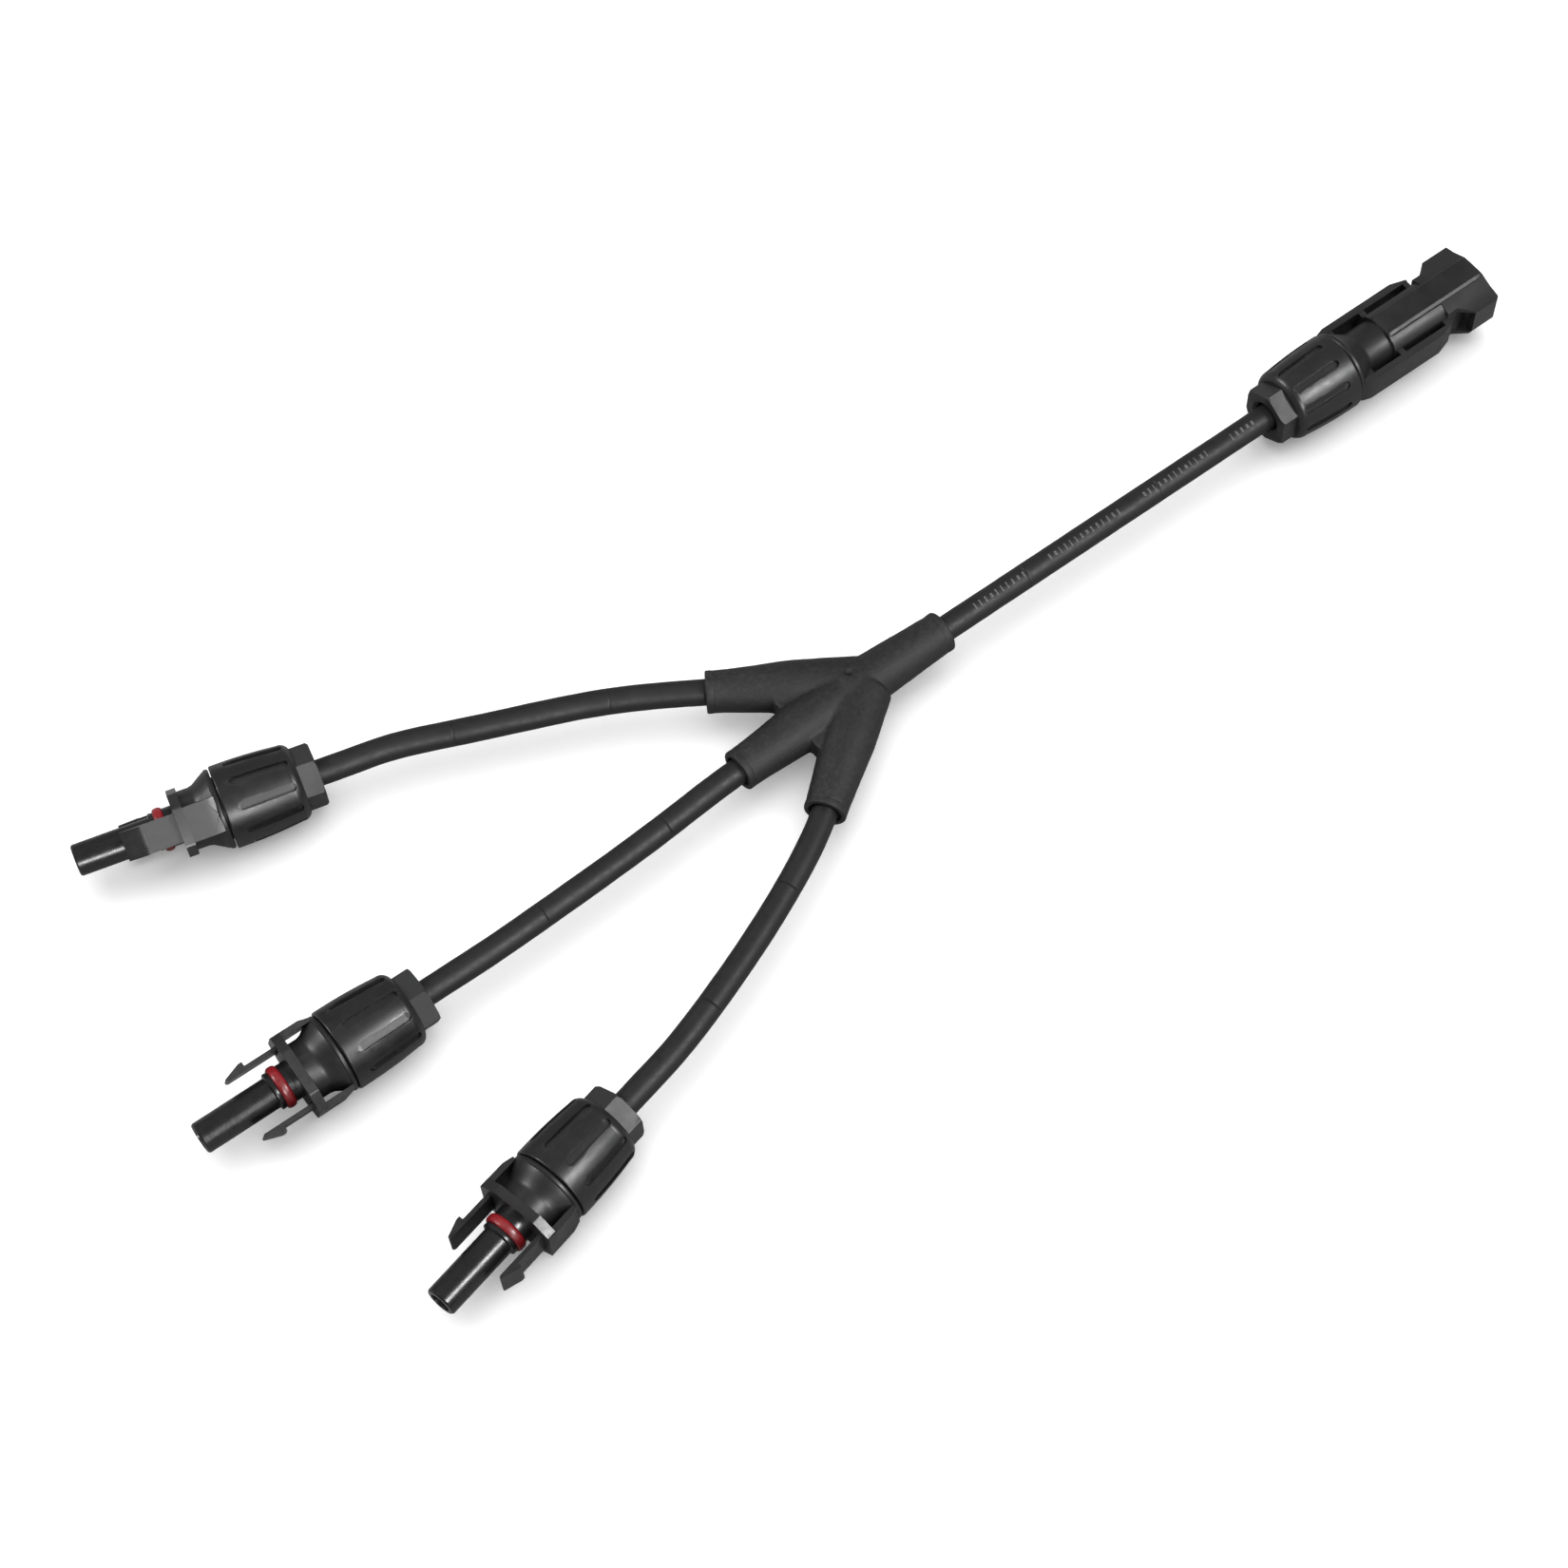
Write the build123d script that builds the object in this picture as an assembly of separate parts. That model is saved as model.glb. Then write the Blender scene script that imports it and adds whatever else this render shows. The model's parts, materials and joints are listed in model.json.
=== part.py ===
from build123d import *
import os
from collections import namedtuple
from math import asin, atan2, cos, degrees, radians, sin

# Solar cable branch harness: three plug connectors and one socket connector on a moulded
# 3-to-1 branch. Millimetres. Origin on the branch moulding's centre; +X runs along the trunk
# cable towards the socket, +Z up, and every cable centreline lies in the plane Z = 0.
#
# Connector parts are drawn in their own frame: X is the axis, x = 0 the cable end of the gland
# nut's hexagon, and +X points to the mating end, called the front. Profiles of turned parts
# are (x, radius) points.

FIT_GAP = 0.05            # clearance between parts that don't move

CABLE_R = 3.0             # jacket, outside
COND_R = 1.25             # stranded conductor
COND_HOLE_R = COND_R + FIT_GAP
CUP_R = CABLE_R + 0.05    # cup round a ball-shaped bending point, with its running gap
JACKET_END_X = 18.0       # cable ends in the connector frame
COND_END_X = 25.5

os.makedirs("parts", exist_ok=True)


# ---- helpers -------------------------------------------------------------------------------
def save(name, shape):
    solids = shape.solids()
    assert solids and all(solid.volume > 0.5 for solid in solids), name
    out = solids[0] if len(solids) == 1 else Compound(children=list(solids))
    export_step(out, f"parts/{name}.step")


def ring(profile):
    """Solid of revolution about the X axis from (x, radius) points."""
    with BuildPart() as part:
        with BuildSketch(Plane.XY):
            with BuildLine():
                Polyline(*profile, close=True)
            make_face()
        revolve(axis=Axis.X)
    return part.part


def cyl(x0, x1, radius):
    return Pos((x0 + x1) / 2, 0, 0) * (Rot(0, 90, 0) * Cylinder(radius, x1 - x0))


def box(xs, ys, zs):
    """Box from three pairs of limits, each in either order."""
    spans = (xs, ys, zs)
    return Pos(*[sum(span) / 2 for span in spans]) * Box(*[abs(b - a) for a, b in spans])


def prism(outline, plane, length):
    with BuildPart() as part:
        with BuildSketch(plane):
            with BuildLine():
                Polyline(*outline, close=True)
            make_face()
        extrude(amount=length)
    return part.part


def prism_yz(outline, x0, x1):
    """Prism along X on a (y, z) outline."""
    return prism(outline, Plane.YZ.offset(x0), x1 - x0)


def slab_xy(outline, half_height):
    """Prism on an (x, y) outline, centred on Z = 0."""
    return prism(outline, Plane.XY.offset(-half_height), 2 * half_height)


def mirrored(quadrant):
    """Four-fold (y, z) outline from the first quadrant's points, counter-clockwise."""
    back = quadrant[::-1]
    return (quadrant + [(-y, z) for y, z in back] + [(-y, -z) for y, z in quadrant]
            + [(y, -z) for y, z in back])


def along(point, direction, start, end, radius):
    """Cylinder on the line through point, between two distances from it."""
    unit = Vector(direction).normalized()
    base = Plane(origin=Vector(point) + unit * start, z_dir=unit)
    return extrude(base * Circle(radius), amount=end - start)


def ball(centre, radius, pole):
    """Sphere whose poles lie on the direction pole."""
    return Plane(origin=centre, z_dir=pole) * Sphere(radius)


def run(path, radius):
    """Round bar along a path."""
    return sweep(Plane(origin=path @ 0, z_dir=path % 0) * Circle(radius), path=path)


# ---- gland: nut, claw cage and seal --------------------------------------------------------
NUT_L = 22.0              # end to end
NUT_R = 9.5               # over the ribbed barrel, at the lip
NUT_BORE_R = 7.8
NUT_HOLE_R = 3.6          # cable hole
SHOULDER_ARC = [(4.3, 7.4), (5.0, 8.3), (6.6, 8.75)]
FLANK_ARC = [(6.6, 8.75), (13.5, 9.33), (20.4, NUT_R)]
LIP_ROUND = 0.45
LIP_ROUND_MID = 0.13      # how far the rounding's middle lies in from the corner
NUT_INSIDE = [(NUT_L, NUT_BORE_R), (11.6, NUT_BORE_R), (11.0, 6.3), (5.0, 6.3), (4.6, 5.4),
              (4.3, 5.4), (4.3, 7.4)]
HEX_AF = 12.6             # across flats
HEX_L = 4.5
HEX_TURNING = [(0, 0), (0, 6.75), (0.55, 7.35), (HEX_L + 0.1, 7.35), (HEX_L + 0.1, 0)]
HOLE_LEAD_IN = [(-0.1, 0), (-0.1, 4.45), (0.75, NUT_HOLE_R - 0.1), (0.75, 0)]

GROOVES = 10
GROOVE_L, GROOVE_W = 13.3, 1.9
GROOVE_X = 12.3           # middle
GROOVE_FLOOR = (7.78, 8.78)   # floor radius at the hexagon end and at the lip end
GROOVE_CUT = 4.0          # height of the cutter over the floor

CAGE = [(5.3, 3.4), (5.3, 5.9), (5.5, 6.05), (14.2, 6.05), (14.6, 5.8), (14.6, 5.3),
        (8.2, 5.3), (7.4, 3.4)]
CLAWS = 6
CLAW_SLOT = ((8.4, 15.0), (-0.75, 0.75), (4.6, 7.0))    # x, y and z limits

GLAND_SEAL = [(8.7, 3.03), (8.7, 4.6), (9.2, 5.1), (11.0, 5.1), (11.3, 4.85), (11.9, 4.85),
              (12.2, 5.1), (14.2, 5.1), (14.5, 4.85), (15.1, 4.85), (15.4, 5.1), (17.2, 5.1),
              (17.6, 4.7), (17.6, 3.03)]


def nut_barrel():
    lip_x, lip_r = NUT_L - LIP_ROUND, NUT_R - LIP_ROUND
    with BuildPart() as part:
        with BuildSketch(Plane.XY):
            with BuildLine():
                ThreePointArc(*SHOULDER_ARC)
                ThreePointArc(*FLANK_ARC)
                Line(FLANK_ARC[-1], (lip_x, NUT_R))
                ThreePointArc((lip_x, NUT_R), (NUT_L - LIP_ROUND_MID, NUT_R - LIP_ROUND_MID),
                              (NUT_L, lip_r))
                Polyline((NUT_L, lip_r), *NUT_INSIDE)
            make_face()
        revolve(axis=Axis.X)
    return part.part


def gland_nut():
    barrel = nut_barrel()
    # round-ended grooves; the floor climbs a little towards the lip
    slot = extrude(SlotOverall(GROOVE_L, GROOVE_W), amount=GROOVE_CUT)
    tilt = degrees(atan2(GROOVE_FLOOR[1] - GROOVE_FLOOR[0], GROOVE_L))
    seated = Pos(GROOVE_X, 0, sum(GROOVE_FLOOR) / 2) * (Rot(0, -tilt, 0) * slot)
    for i in range(GROOVES):
        barrel = barrel - Rot((i + 0.5) * 360.0 / GROOVES, 0, 0) * seated
    hexagon = RegularPolygon(HEX_AF / 2, 6, major_radius=False)
    hexagon = Rot(0, 90, 0) * extrude(hexagon, amount=HEX_L)
    nut = barrel + (hexagon & ring(HEX_TURNING))
    return nut - cyl(-1, 6, NUT_HOLE_R) - ring(HOLE_LEAD_IN)


def claw_cage():
    cage = ring(CAGE)
    for i in range(CLAWS):
        cage = cage - Rot(i * 360.0 / CLAWS, 0, 0) * box(*CLAW_SLOT)
    return cage


# ---- rear end shared by both housings ------------------------------------------------------
THREAD_X0 = 13.0
THREAD_TURNS = 4
THREAD_PITCH = 2.0
THREAD_MAJOR_R, THREAD_MINOR_R = 7.7, 7.15
FLANGE_X0, FLANGE_X1 = 22.2, 23.4
FLANGE_R = 9.15
FLANGE_CHAMFER = 0.3
OVERLAP_X = FLANGE_X1 - 0.2      # start of the bodies fused to the flange
CRIMP_ROOM = (17.0, 30.0, 3.05)  # x0, x1, radius
CONTACT_ROOM_X0, CONTACT_ROOM_R = 29.0, 2.7


def spigot():
    """Threaded rear end of a housing, with the seat for the gland seal."""
    profile = [(12.0, 6.2), (12.0, 6.9), (12.4, THREAD_MINOR_R)]
    for turn in range(THREAD_TURNS):
        x = THREAD_X0 + turn * THREAD_PITCH
        profile += [(x, THREAD_MINOR_R), (x + THREAD_PITCH / 4, THREAD_MAJOR_R),
                    (x + THREAD_PITCH / 2, THREAD_MAJOR_R),
                    (x + THREAD_PITCH * 3 / 4, THREAD_MINOR_R)]
    profile += [(FLANGE_X0, THREAD_MINOR_R), (FLANGE_X0, FLANGE_R - FLANGE_CHAMFER),
                (FLANGE_X0 + FLANGE_CHAMFER, FLANGE_R), (FLANGE_X1 - FLANGE_CHAMFER, FLANGE_R),
                (FLANGE_X1, FLANGE_R - FLANGE_CHAMFER), (FLANGE_X1, 3.15), (18.2, 3.15),
                (18.0, 6.2)]
    return ring(profile)


# ---- plug ----------------------------------------------------------------------------------
PLUG_L = 55.5             # hexagon end to nose tip
PLATE_X = 32.4            # front face of the plate
PLATE_T = 2.2
PLATE = [(9.5, 4.0), (9.3, 4.6), (5.6, 7.0), (5.0, 7.2)]    # (y, z), first quadrant
PLUG_BARREL = [(OVERLAP_X, 3.0), (OVERLAP_X, 8.9), (FLANGE_X1 + 0.3, 8.75), (26.6, 7.0),
               (27.6, 6.75), (PLATE_X - 0.5, 6.75), (PLATE_X - 0.5, 3.0)]
WALL_Y = (8.0, 9.5)       # side walls behind the plate
WALL_HALF_Z = 4.0
WALL_PLAN = [(FLANGE_X1 - 0.3, 7.6), (FLANGE_X1 - 0.3, 8.75), (25.6, 9.45), (PLATE_X, 9.5),
             (PLATE_X, 7.6)]     # (x, y) on the +Y side; leans in towards the nut

SEAL_X0, SEAL_X1 = 34.5, 36.7
SEAT_X0, SEAT_X1 = SEAL_X0 - FIT_GAP, SEAL_X1 + FIT_GAP
NOSE_R = 3.6
NOSE_TIP_R = 2.3          # opening in the nose tip
NOSE = [(PLATE_X - 1.0, 2.1), (PLATE_X - 1.0, 4.4), (SEAT_X0, 4.4), (SEAT_X0, 3.7),
        (SEAT_X1, 3.7), (SEAT_X1, 4.2), (SEAL_X1 + 0.35, 4.3), (SEAL_X1 + 1.0, 4.3),
        (SEAL_X1 + 1.3, NOSE_R), (PLUG_L - 0.4, NOSE_R), (PLUG_L, NOSE_R - 0.35),
        (PLUG_L, 2.1)]
TIP_OPENING = [(PLUG_L - 2.0, 0), (PLUG_L - 2.0, NOSE_TIP_R), (PLUG_L + 1, NOSE_TIP_R + 0.2),
               (PLUG_L + 1, 0)]
NOSE_SEAL = [(SEAL_X0, 3.72), (SEAL_X0, 4.45), (SEAL_X0 + 0.2, 4.72), (SEAL_X0 + 0.55, 4.9),
             (SEAL_X0 + 0.85, 4.95), (SEAL_X1 - 0.85, 4.95), (SEAL_X1 - 0.55, 4.9),
             (SEAL_X1 - 0.2, 4.72), (SEAL_X1, 4.45), (SEAL_X1, 3.72)]

LATCH_X, LATCH_Y = 31.2, 7.1     # axis of the arm's root
LATCH_T = 1.0
LATCH_W = 6.6
LATCH_ROOT_R = 0.75
LATCH_TIP_X = 44.6
SHOULDER_X = PLATE_X + 7.4       # shoulder of the barb
BARB_H = 1.5                     # over the arm's centreline
SEAT_HALF_W = LATCH_W / 2 + 0.15
SEAT_IN, SEAT_OUT = 0.95, 0.62   # seat's reach inwards and outwards from the root axis


def plug_housing():
    housing = spigot()
    housing += ring(PLUG_BARREL)
    housing += prism_yz(mirrored(PLATE), PLATE_X - PLATE_T, PLATE_X)
    for side in (1, -1):
        wall = box((OVERLAP_X, PLATE_X - 0.1), [side * y for y in WALL_Y],
                   (-WALL_HALF_Z, WALL_HALF_Z))
        housing += wall & slab_xy([(x, side * y) for x, y in WALL_PLAN], WALL_HALF_Z)
    housing += ring(NOSE)
    # through passage: crimp room, contact room, tip opening
    housing -= cyl(*CRIMP_ROOM)
    housing -= cyl(CONTACT_ROOM_X0, PLUG_L - 1.6, CONTACT_ROOM_R)
    housing -= ring(TIP_OPENING)
    # latch arm seats: a round socket for the root and an open mouth in front of it
    for side in (1, -1):
        root = Cylinder(LATCH_ROOT_R + FIT_GAP, 2 * SEAT_HALF_W)
        housing -= Pos(LATCH_X, side * LATCH_Y, 0) * root
        housing -= box((LATCH_X, PLATE_X + 1),
                       (side * (LATCH_Y - SEAT_IN), side * (LATCH_Y + SEAT_OUT)),
                       (-SEAT_HALF_W, SEAT_HALF_W))
    return housing


def latch_arm():
    """Latch arm on the +Y side; its round root sits in the plate."""
    y_in, y_out = LATCH_Y - LATCH_T / 2, LATCH_Y + LATCH_T / 2
    y_barb = LATCH_Y + BARB_H
    outline = [(LATCH_X, y_in), (LATCH_TIP_X - 0.5, y_in), (LATCH_TIP_X, y_in + 0.3),
               (LATCH_TIP_X, LATCH_Y + 0.2), (SHOULDER_X + 0.9, y_barb), (SHOULDER_X, y_barb),
               (SHOULDER_X, y_out + 0.05), (SHOULDER_X - 0.4, y_out), (LATCH_X, y_out)]
    arm = slab_xy(outline, LATCH_W / 2)
    arm += Pos(LATCH_X, LATCH_Y, 0) * Cylinder(LATCH_ROOT_R, LATCH_W)
    return arm


# ---- socket --------------------------------------------------------------------------------
SOCKET_L = 64.5           # hexagon end to mouth
HEAD_X0 = SOCKET_L - 7.2  # rear of the head's full width
# (y, z) outlines, first quadrant
HEAD = [(9.5, 3.4), (9.1, 4.2), (6.4, 4.9), (3.1, 6.35), (2.4, 6.45)]
BODY = [(6.4, 2.6), (6.1, 3.5), (5.0, 5.2), (3.1, 6.2), (2.4, 6.3)]
BODY_X = (34.8, 54.0)
SOCKET_REAR = [(OVERLAP_X, 3.0), (OVERLAP_X, 8.9), (FLANGE_X1 + 0.3, 8.6), (28.4, 6.1),
               (35.2, 6.1), (35.2, 3.0)]
NECK_X = 51.0             # where the head begins, behind its full width
HEAD_PLAN = [(SOCKET_L, 9.3), (SOCKET_L - 0.3, 9.5), (HEAD_X0, 9.5), (HEAD_X0 - 3.4, 6.4),
             (NECK_X, 6.4)]      # (x, y), +Y half
RAIL_PLAN = [(OVERLAP_X, 7.7), (OVERLAP_X, 8.75), (25.4, 9.45), (46.8, 9.5), (50.9, 8.2),
             (50.9, 7.7)]        # (x, y), +Y rail
RAIL_HALF_Z = 3.4
RIBS_X = ((23.3, 27.0), (35.4, 37.0), (49.5, 50.9))
RIB_Y = (5.2, 8.0)
RIB_HALF_Z = 3.2
CAVITY_X0, CAVITY_R = 40.9, 3.75     # deep bore for a nose tube
MOUTH_X0, MOUTH_R = 57.2, 5.3        # wide bore for the seal
MOUTH_LEAD_IN = [(SOCKET_L - 0.5, 0), (SOCKET_L - 0.5, MOUTH_R - 0.05),
                 (SOCKET_L + 0.2, MOUTH_R + 0.45), (SOCKET_L + 0.2, 0)]
SLOT_HALF_Z = 3.5
MOUTH_SLOT_Y = (3.9, 7.75)
NECK_SLOT_Y = (6.42, 10.5)


def socket_housing():
    housing = spigot()
    housing += ring(SOCKET_REAR)
    housing += prism_yz(mirrored(BODY), *BODY_X)
    # latch head: full width at the mouth, its rear edges running in
    plan = HEAD_PLAN + [(x, -y) for x, y in reversed(HEAD_PLAN)]
    housing += prism_yz(mirrored(HEAD), NECK_X, SOCKET_L) & slab_xy(plan, 8)
    # side rails, each joined to the body by cross ribs
    for side in (1, -1):
        housing += slab_xy([(x, side * y) for x, y in RAIL_PLAN], RAIL_HALF_Z)
        for rib_x in RIBS_X:
            housing += box(rib_x, [side * y for y in RIB_Y], (-RIB_HALF_Z, RIB_HALF_Z))
    # cavity, mouth and latch slots
    housing -= cyl(CAVITY_X0, SOCKET_L + 1, CAVITY_R)
    housing -= cyl(MOUTH_X0, SOCKET_L + 1, MOUTH_R)
    housing -= ring(MOUTH_LEAD_IN)
    housing -= cyl(*CRIMP_ROOM)
    housing -= cyl(CONTACT_ROOM_X0, 41.5, CONTACT_ROOM_R)
    for side in (1, -1):
        for slot_x, slot_y in (((MOUTH_X0, SOCKET_L + 1), MOUTH_SLOT_Y),
                               ((NECK_X, HEAD_X0), NECK_SLOT_Y)):
            housing -= box(slot_x, [side * y for y in slot_y], (-SLOT_HALF_Z, SLOT_HALF_Z))
    return housing


# ---- contacts ------------------------------------------------------------------------------
CONTACT_R = 2.6
TUBE_BORE_R = 2.0         # bore of the female contact
PIN_R = 2.0
PIN_TIP_X = 56.0
# crimp sleeve and collar, outside; then the end of the conductor hole
CONTACT_REAR = [(19.0, COND_HOLE_R), (19.0, 2.0), (19.4, 2.2), (27.0, 2.2),
                (27.6, CONTACT_R), (28.8, CONTACT_R), (28.8, 2.3), (30.0, 2.3),
                (30.0, CONTACT_R)]
CRIMP_FLOOR = [(26.0, 0), (26.0, COND_HOLE_R)]
TUBE_FRONT = [(PLUG_L - 2.2, CONTACT_R), (PLUG_L - 1.8, 2.3),
              (PLUG_L - 1.8, TUBE_BORE_R + 0.15), (PLUG_L - 2.1, TUBE_BORE_R),
              (35.0, TUBE_BORE_R), (34.0, 0.6), (34.0, 0)]
PIN_FRONT = [(CAVITY_X0, CONTACT_R), (CAVITY_X0, PIN_R), (PIN_TIP_X - 1.6, PIN_R),
             (PIN_TIP_X - 0.5, 1.5), (PIN_TIP_X, 0.7), (PIN_TIP_X, 0)]


def contact(front):
    return ring(CONTACT_REAR + front + CRIMP_FLOOR)


# ---- cable pieces --------------------------------------------------------------------------
def sphere_arc(centre_x, sphere_r, first_r, last_r):
    """Three (x, radius) points on a sphere's +X side, between two distances from the axis."""
    first, last = asin(first_r / sphere_r), asin(last_r / sphere_r)
    return [(centre_x + sphere_r * cos(angle), sphere_r * sin(angle))
            for angle in (first, (first + last) / 2, last)]


def straight_body(inner_r, outer_r, length, cup, bulb):
    """Tube along +X from x = 0, with a hollow start if cup and a ball-shaped end if bulb."""
    with BuildPart() as part:
        with BuildSketch(Plane.XY):
            with BuildLine():
                if cup:
                    start = sphere_arc(0, CUP_R, inner_r, outer_r)
                    ThreePointArc(*start)
                else:
                    start = [(0, inner_r), (0, outer_r)]
                    Line(*start)
                if bulb:
                    end = sphere_arc(length, CABLE_R, outer_r, inner_r)
                    Line(start[-1], end[0])
                    ThreePointArc(*end)
                    Line(end[-1], start[0])
                else:
                    Polyline(start[-1], (length, outer_r), (length, inner_r), start[0])
            make_face()
        revolve(axis=Axis.X)
    return part.part


def straight_piece(at, length, cup=True, bulb=True, core_length=None):
    """Straight jacket and conductor, placed at a location."""
    jacket = straight_body(COND_HOLE_R, CABLE_R, length, cup, bulb)
    core = straight_body(0.0, COND_R, core_length or length, cup, bulb)
    return at * jacket, at * core


def end_piece(at, nut_distance):
    """Last straight piece, from its pivot into the connector."""
    return straight_piece(at, nut_distance + JACKET_END_X, bulb=False,
                          core_length=nut_distance + COND_END_X)


def curved_piece(first, middle, last):
    """Jacket and conductor on an arc, with a cup at the start and a ball at the end."""
    path = Edge.make_three_point_arc(Vector(first), Vector(middle), Vector(last))
    start, end = path @ 0, path @ 1
    start_dir, end_dir = path % 0, path % 1
    reach = 3.4           # carries hole and conductor out through the ball
    jacket = run(path, CABLE_R) + ball(end, CABLE_R, end_dir)
    bore = run(path, COND_HOLE_R) + along(end, end_dir, 0, reach, COND_HOLE_R)
    core = run(path, COND_R) + along(end, end_dir, 0, reach, COND_R)
    # trim the conductor to the ball's surface
    core -= along(end, end_dir, 1.0, 6.0, 4.0) - ball(end, CABLE_R, end_dir)
    hollow = ball(start, CUP_R, start_dir)
    return jacket - bore - hollow, core - hollow


def save_pieces(cable, pieces):
    for tag, (jacket, core) in zip("abc", pieces):
        save(f"{cable}_jacket_{tag}", jacket)
        save(f"{cable}_conductor_{tag}", core)


# ---- cable routes --------------------------------------------------------------------------
# (x, y) points: ends of the moulding's arm, the first two bending points, the arcs' middle
# points and the gland nut's end; then heading and roll of the plug in degrees, and the y of
# the conductor in the ferrule
Leg = namedtuple("Leg", "number arm_start arm_end pivots mids nut heading roll core_y")
LEGS = [
    Leg(number=1, arm_start=(2.5, 1.0), arm_end=(-25.8, 19.7),
        pivots=[(-28.9, 21.75), (-60.22, 38.55)], mids=[(-44.07, 30.95), (-76.3, 45.6)],
        nut=(-105.5, 55.4), heading=165.5, roll=52.0, core_y=2.8),
    Leg(number=2, arm_start=(2.0, 0.0), arm_end=(-32.4, -1.1),
        pivots=[(-35.9, -1.25), (-70.0, -3.45)], mids=[(-53.0, -2.5), (-86.6, -4.0)],
        nut=(-117.9, -4.1), heading=179.2, roll=-22.0, core_y=0.0),
    Leg(number=3, arm_start=(2.5, -1.8), arm_end=(-23.7, -21.3),
        pivots=[(-27.0, -23.4), (-56.11, -37.8)], mids=[(-41.1, -31.1), (-71.2, -43.6)],
        nut=(-100.3, -51.6), heading=193.0, roll=0.0, core_y=-2.8),
]
LAST_PIVOT = 14.5         # from a leg's last bending point to its nut
TRUNK_PIVOTS = (29.5, 68.5, 107.5)   # x
SOCKET_X = 121.8
X_DIR = Vector(1, 0, 0)


def save_leg_cable(leg):
    angle = radians(leg.heading)
    last = Vector(leg.nut) - Vector(cos(angle), sin(angle), 0) * LAST_PIVOT
    first, second = leg.pivots
    save_pieces(f"cable_{leg.number}", [
        curved_piece(first, leg.mids[0], second),
        curved_piece(second, leg.mids[1], last),
        end_piece(Pos(*last) * Rot(0, 0, leg.heading), LAST_PIVOT),
    ])


def save_trunk_cable():
    first, second, third = TRUNK_PIVOTS
    save_pieces("trunk", [
        straight_piece(Pos(first, 0, 0), second - first),
        straight_piece(Pos(second, 0, 0), third - second),
        end_piece(Pos(third, 0, 0), SOCKET_X - third),
    ])


def save_connectors():
    gland = {"gland_nut_{}": gland_nut(), "claw_cage_{}": claw_cage(),
             "gland_seal_{}": ring(GLAND_SEAL)}
    arm = latch_arm()
    plug = gland | {"plug_housing_{}": plug_housing(), "latch_arm_{}_left": arm,
                    "latch_arm_{}_right": mirror(arm, about=Plane.XZ),
                    "nose_seal_{}": ring(NOSE_SEAL), "female_contact_{}": contact(TUBE_FRONT)}
    socket = gland | {"socket_housing": socket_housing(), "male_contact": contact(PIN_FRONT)}
    sets = [(leg.number, plug, Pos(*leg.nut, 0) * Rot(0, 0, leg.heading) * Rot(leg.roll, 0, 0))
            for leg in LEGS]
    for suffix, parts, place in sets + [("trunk", socket, Pos(SOCKET_X, 0, 0))]:
        for name, part in parts.items():
            save(name.format(suffix), place * part)


# ---- branch: moulded-in stubs, ferrule and moulding ----------------------------------------
STUB_IN_ARM = 11.0        # length of a leg's jacket inside its arm
LEG_CORE_X = 4.0          # start of the straight last part of each leg conductor
LEG_CORE_L = 4.0
TRUNK_CORE_X = 9.0
TRUNK_JACKET_X = 15.5

FERRULE = [(4.4, 1.2), (3.6, 2.2)]   # (y, z), first quadrant
FERRULE_X = (3.0, 14.0)

HUB_R = 6.2
TRUNK_ARM_END = 25.9
TRUNK_ARM_R = (6.25, 4.85)           # root, end
ARM_ROOT_R, ARM_END_R = 6.0, 4.8
ARM_KNEE = 15.0           # along each leg arm, where it starts to taper
EXIT_RECESS_R = 3.6
EXIT_RECESS_DEPTH = 1.0
WEB_HALF_Z = 2.0
WEBS = [                  # (x, y) outlines in the +Y and the -Y fork
    [(3, 2.5), (-15.5, 12.5), (-18.0, 7.0), (-17.0, 2.0), (2, -1)],
    [(2, 1), (-16.0, -3.5), (-17.2, -8.2), (-14.5, -14.0), (3, -4.5)],
]


def leg_stub(leg):
    """Moulded-in jacket and conductor up to the first pivot, and their cutters."""
    arm_end = Vector(leg.arm_end)
    start = arm_end - (arm_end - Vector(leg.arm_start)).normalized() * STUB_IN_ARM
    reach = Vector(leg.pivots[0]) - start
    at = Pos(*start) * Rot(0, 0, degrees(atan2(reach.Y, reach.X)))
    jacket, core = straight_piece(at, reach.length, cup=False)
    bend_end = Vector(LEG_CORE_X, leg.core_y, 0)
    path = Edge.make_spline([start, bend_end], tangents=[reach * -1, X_DIR])
    core = core + run(path, COND_R) + along(bend_end, X_DIR, 0, LEG_CORE_L, COND_R)
    cutters = [along(start, reach, 0, 30, CABLE_R + FIT_GAP), run(path, COND_HOLE_R)]
    return jacket, core, cutters


def trunk_stub():
    pivot_x = TRUNK_PIVOTS[0]
    jacket, _ = straight_piece(Pos(TRUNK_JACKET_X, 0, 0), pivot_x - TRUNK_JACKET_X, cup=False)
    _, core = straight_piece(Pos(TRUNK_CORE_X, 0, 0), pivot_x - TRUNK_CORE_X, cup=False)
    cutters = [along((TRUNK_JACKET_X, 0, 0), X_DIR, 0, 30, CABLE_R + FIT_GAP),
               along((TRUNK_CORE_X, 0, 0), X_DIR, 0, 7.0, COND_HOLE_R)]
    return jacket, core, cutters


def splice_ferrule():
    """Block with three conductor holes in the -X end and the trunk's in the +X end."""
    ferrule = prism_yz(mirrored(FERRULE), *FERRULE_X)
    for leg in LEGS:
        ferrule -= along((2.0, leg.core_y, 0), X_DIR, 0, 6.1, COND_HOLE_R)
    return ferrule - along((8.9, 0, 0), X_DIR, 0, 6, COND_HOLE_R)


def taper(start, end, start_r, end_r):
    axis = Vector(end) - Vector(start)
    cone = Pos(0, 0, axis.length / 2) * Cone(start_r, end_r, axis.length)
    return Plane(origin=Vector(start), z_dir=axis) * cone


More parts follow.
